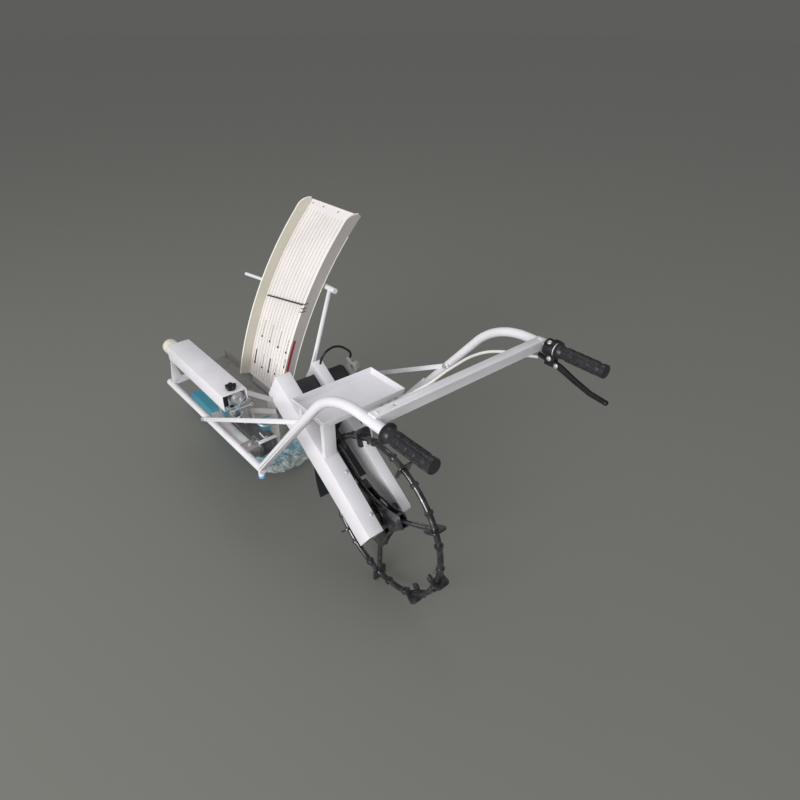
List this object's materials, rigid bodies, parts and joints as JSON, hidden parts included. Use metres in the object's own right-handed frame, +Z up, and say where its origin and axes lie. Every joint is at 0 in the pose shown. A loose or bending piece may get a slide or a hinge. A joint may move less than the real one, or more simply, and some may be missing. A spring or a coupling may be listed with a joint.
{
  "type": "walk behind rice transplanter",
  "caption": "Walk behind rice transplanter: lugged drive wheel on a chain case arm, curved seedling tray sliding over a planting arm, float, pan and two handlebars.",
  "frame": {"origin": "middle of the bounding box, on the floor", "axes": "+Y along the machine, away from the operator at the grips; +X to the operator's right; +Z up"},
  "size_m": [0.6025, 1.781, 0.9847],
  "materials": {
    "white_paint": "satin powder coat",
    "grip_rubber": "matt",
    "black_plastic": "satin",
    "black_rubber": "matt",
    "cable_sheath": "glossy",
    "blue_plastic": "glossy",
    "cast_metal": "as cast",
    "dark_case": "satin",
    "bright_steel": "zinc plated",
    "wheel_iron": "dark satin paint",
    "tray_plastic": "satin",
    "black_wire": "satin",
    "float_plastic": "glossy",
    "cream_plastic": "glossy"
  },
  "bodies": {
    "frame": {"handle_left": "white_paint", "handle_right": "white_paint", "handle_socket": "white_paint", "handle_cross_tube": "white_paint", "grip_left": "grip_rubber", "grip_right": "grip_rubber", "lever_perch": "black_plastic", "lever_band": "white_paint", "clutch_lever": "black_plastic", "clutch_cable": "cable_sheath", "frame_tube_left": "white_paint", "frame_tube_right": "white_paint", "frame_end_caps": "blue_plastic", "frame_cross_tube": "cast_metal", "side_bar": "white_paint", "brace_left": "white_paint", "brace_right": "white_paint", "pan": "white_paint", "pan_posts": "white_paint", "chain_case_cover": "white_paint", "chain_case_top": "white_paint", "chain_case_inner": "black_plastic", "gear_case": "cast_metal", "wheel_arm": "white_paint", "arm_post": "cast_metal", "mud_plate": "black_rubber", "cast_bracket": "cast_metal", "black_cable": "black_plastic", "feed_cover": "white_paint", "feed_screw": "bright_steel", "feed_knob": "black_plastic", "feed_end_cap": "cream_plastic", "end_plate": "white_paint", "rail": "bright_steel", "rail_bars": "bright_steel", "tray_strut": "white_paint", "tray_sleeve": "white_paint", "drive_case": "dark_case", "shift_lever": "white_paint", "feed_link": "bright_steel", "wire_loop": "bright_steel", "float": "float_plastic", "float_arms": "bright_steel", "float_post": "bright_steel"},
    "wheel": {"wheel_rim": "wheel_iron", "wheel_lugs": "wheel_iron", "wheel_hub": "wheel_iron"},
    "tray": {"seedling_tray": "tray_plastic", "tray_hanger": "bright_steel", "tray_foot": "bright_steel", "tray_retainer": "black_wire", "tray_rod": "white_paint"},
    "planting_arm": {"planting_arm": "cast_metal", "planting_claws": "bright_steel"}
  },
  "joints": [
    {"name": "wheel_spin", "type": "hinge", "parent": "frame", "child": "wheel", "pos_m": [-0.085, -0.45948, 0.283], "axis": [1, 0, 0], "continuous": true},
    {"name": "tray_feed", "type": "slide", "parent": "frame", "child": "tray", "axis": [0, 1, 0], "range_m": [0, 0.19]},
    {"name": "planting_arm_swing", "type": "hinge", "parent": "frame", "child": "planting_arm", "pos_m": [-0.196, 0.24652, 0.306], "axis": [0, 1, 0], "range_deg": [-20, 20]}
  ]
}
